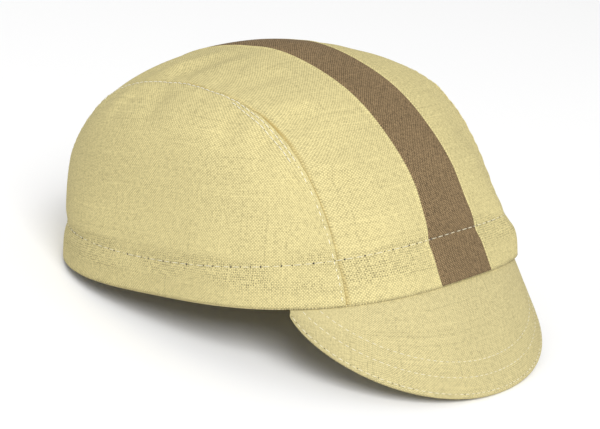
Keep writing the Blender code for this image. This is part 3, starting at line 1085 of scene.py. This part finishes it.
def build_stage(cap):
    """A flat floor, two soft lights, an even sky and the camera at the photo's angle."""
    aim = Vector(VIEW_AIM)
    azimuth, elevation, roll = (np.radians(v) for v in (VIEW_AZIMUTH, VIEW_ELEVATION, VIEW_ROLL))
    flat = np.cos(elevation)
    back = Vector((np.sin(azimuth) * flat, -np.cos(azimuth) * flat, np.sin(elevation)))
    level = Vector((np.cos(azimuth), np.sin(azimuth), 0.0))
    up = back.cross(level)
    right = level * np.cos(roll) + up * np.sin(roll)
    top = up * np.cos(roll) - level * np.sin(roll)
    camera = bpy.data.cameras.new("photo_camera")
    camera.lens = VIEW_LENS
    camera.sensor_width = VIEW_SENSOR
    camera.clip_start, camera.clip_end = VIEW_CLIP
    viewer = bpy.data.objects.new("photo_camera", camera)
    turned = Matrix((right, top, back)).transposed().to_4x4()
    viewer.matrix_world = Matrix.Translation(aim + VIEW_DISTANCE * back) @ turned
    bpy.context.scene.collection.objects.link(viewer)
    bpy.context.scene.camera = viewer

    corners = [(FLOOR_REACH * x, FLOOR_REACH * y, 0) for x, y in ((-1, -1), (1, -1), (1, 1), (-1, 1))]
    mesh = bpy.data.meshes.new("floor")
    mesh.from_pydata(corners, [], [(0, 1, 2, 3)])
    mesh.materials.append(plain("pale_floor", toned(cap.floor, 1.0), 0.9))
    floor = bpy.data.objects.new("floor", mesh)
    bpy.context.scene.collection.objects.link(floor)

    for name, place, width, power in LIGHTS:
        lamp = bpy.data.lights.new(name, "AREA")
        lamp.size = width
        lamp.energy = power
        held = bpy.data.objects.new(name, lamp)
        held.location = place
        held.rotation_euler = (Vector(place) - aim).to_track_quat("Z", "Y").to_euler()
        bpy.context.scene.collection.objects.link(held)
    world = bpy.data.worlds.new("studio")
    world.use_nodes = True
    world.node_tree.nodes["Background"].inputs["Color"].default_value = (1.0, 1.0, 1.0, 1.0)
    world.node_tree.nodes["Background"].inputs["Strength"].default_value = SKY
    bpy.context.scene.world = world
    bpy.context.scene.view_settings.view_transform = "Standard"


# Add-on


class CapSettings(bpy.types.PropertyGroup):
    """Sizes and colours that a user may change."""

    straw: bpy.props.FloatVectorProperty(
        name="Cloth",
        description="Colour of the crown's linen",
        default=(0.501, 0.434, 0.210),
        subtype="COLOR",
    )
    # Painted shade: the crown's linen darkened for the peak, which is the same cloth.
    peak: bpy.props.FloatVectorProperty(
        name="Peak cloth",
        description="Colour of the linen on top of the peak",
        default=(0.461, 0.400, 0.202),
        subtype="COLOR",
    )
    under: bpy.props.FloatVectorProperty(
        name="Under cloth",
        description="Colour under the peak and inside the hem",
        default=(0.45, 0.39, 0.20),
        subtype="COLOR",
    )
    tape: bpy.props.FloatVectorProperty(
        name="Tape",
        description="Colour of the stripe",
        default=(0.146, 0.101, 0.053),
        subtype="COLOR",
    )
    thread: bpy.props.FloatVectorProperty(
        name="Thread",
        description="Colour of the stitches",
        default=(0.67, 0.63, 0.45),
        subtype="COLOR",
    )
    seam_thread: bpy.props.FloatVectorProperty(
        name="Seam thread",
        description="Colour of the stitches beside the seams",
        default=(0.80, 0.77, 0.62),
        subtype="COLOR",
    )
    floor: bpy.props.FloatVectorProperty(
        name="Floor",
        description="Colour of the floor",
        default=(0.93, 0.93, 0.93),
        subtype="COLOR",
    )
    linen_pitch: bpy.props.FloatProperty(
        name="Linen thread spacing",
        description="Distance from one thread of the linen to the next",
        default=0.00062,
        min=0.0002,
        precision=5,
        unit="LENGTH",
    )
    tape_pitch: bpy.props.FloatProperty(
        name="Tape thread spacing",
        description="Distance from one thread of the tape to the next",
        default=0.00062,
        min=0.0002,
        precision=5,
        unit="LENGTH",
    )
    seam_stitch: bpy.props.FloatProperty(
        name="Seam stitch",
        description="Length of a stitch beside the seams",
        default=0.0029,
        min=0.001,
        precision=4,
        unit="LENGTH",
    )
    hem_stitch: bpy.props.FloatProperty(
        name="Hem stitch",
        description="Length of a stitch along the hem",
        default=0.0042,
        min=0.001,
        precision=4,
        unit="LENGTH",
    )
    peak_stitch: bpy.props.FloatProperty(
        name="Peak stitch",
        description="Length of a stitch on the peak",
        default=0.0030,
        min=0.001,
        precision=4,
        unit="LENGTH",
    )
    thread_width: bpy.props.FloatProperty(
        name="Thread width",
        description="Width of the sewing thread",
        default=0.00032,
        min=0.0001,
        max=0.001,
        precision=5,
        unit="LENGTH",
    )


class CapPanels(bpy.types.Operator):
    """Build the centre panel and both side panels"""

    bl_idname = "cap.panels"
    bl_label = "Panels"

    def execute(self, context):
        build_panels(context.scene.cap)
        return {"FINISHED"}


class CapTape(bpy.types.Operator):
    """Build the brown tape over the top"""

    bl_idname = "cap.tape"
    bl_label = "Tape"

    def execute(self, context):
        build_tape(context.scene.cap)
        return {"FINISHED"}


class CapFacing(bpy.types.Operator):
    """Build the turned-up hem inside"""

    bl_idname = "cap.facing"
    bl_label = "Hem facing"

    def execute(self, context):
        build_facing(context.scene.cap)
        return {"FINISHED"}


class CapPeak(bpy.types.Operator):
    """Build both layers of the peak"""

    bl_idname = "cap.peak"
    bl_label = "Peak"

    def execute(self, context):
        build_peak(context.scene.cap)
        return {"FINISHED"}


class CapStitches(bpy.types.Operator):
    """Build the stitches and needle holes"""

    bl_idname = "cap.stitches"
    bl_label = "Stitches"

    def execute(self, context):
        build_stitches(context.scene.cap)
        return {"FINISHED"}


class CapStage(bpy.types.Operator):
    """Build the floor, lights and camera"""

    bl_idname = "cap.stage"
    bl_label = "Studio"

    def execute(self, context):
        build_stage(context.scene.cap)
        return {"FINISHED"}


class CapSidebar(bpy.types.Panel):
    """Lists the cap's operators"""

    bl_idname = "VIEW3D_PT_cap"
    bl_label = "Three-panel cap"
    bl_space_type = "VIEW_3D"
    bl_region_type = "UI"
    bl_category = "Cap"

    def draw(self, context):
        for name in CapSettings.__annotations__:
            self.layout.prop(context.scene.cap, name)
        for kind in OPERATORS:
            self.layout.operator(kind.bl_idname)


OPERATORS = (CapPanels, CapTape, CapFacing, CapPeak, CapStitches, CapStage)
CLASSES = (CapSettings, *OPERATORS, CapSidebar)


def register():
    """Adds the cap's settings, operators and panel."""
    for kind in CLASSES:
        bpy.utils.register_class(kind)
    bpy.types.Scene.cap = bpy.props.PointerProperty(type=CapSettings)


def unregister():
    """Takes them away again."""
    del bpy.types.Scene.cap
    for kind in reversed(CLASSES):
        bpy.utils.unregister_class(kind)


def main():
    """Builds every piece and the stage."""
    register()
    bpy.ops.cap.panels()
    bpy.ops.cap.tape()
    bpy.ops.cap.facing()
    bpy.ops.cap.peak()
    bpy.ops.cap.stitches()
    bpy.ops.cap.stage()


if __name__ == "__main__":
    main()
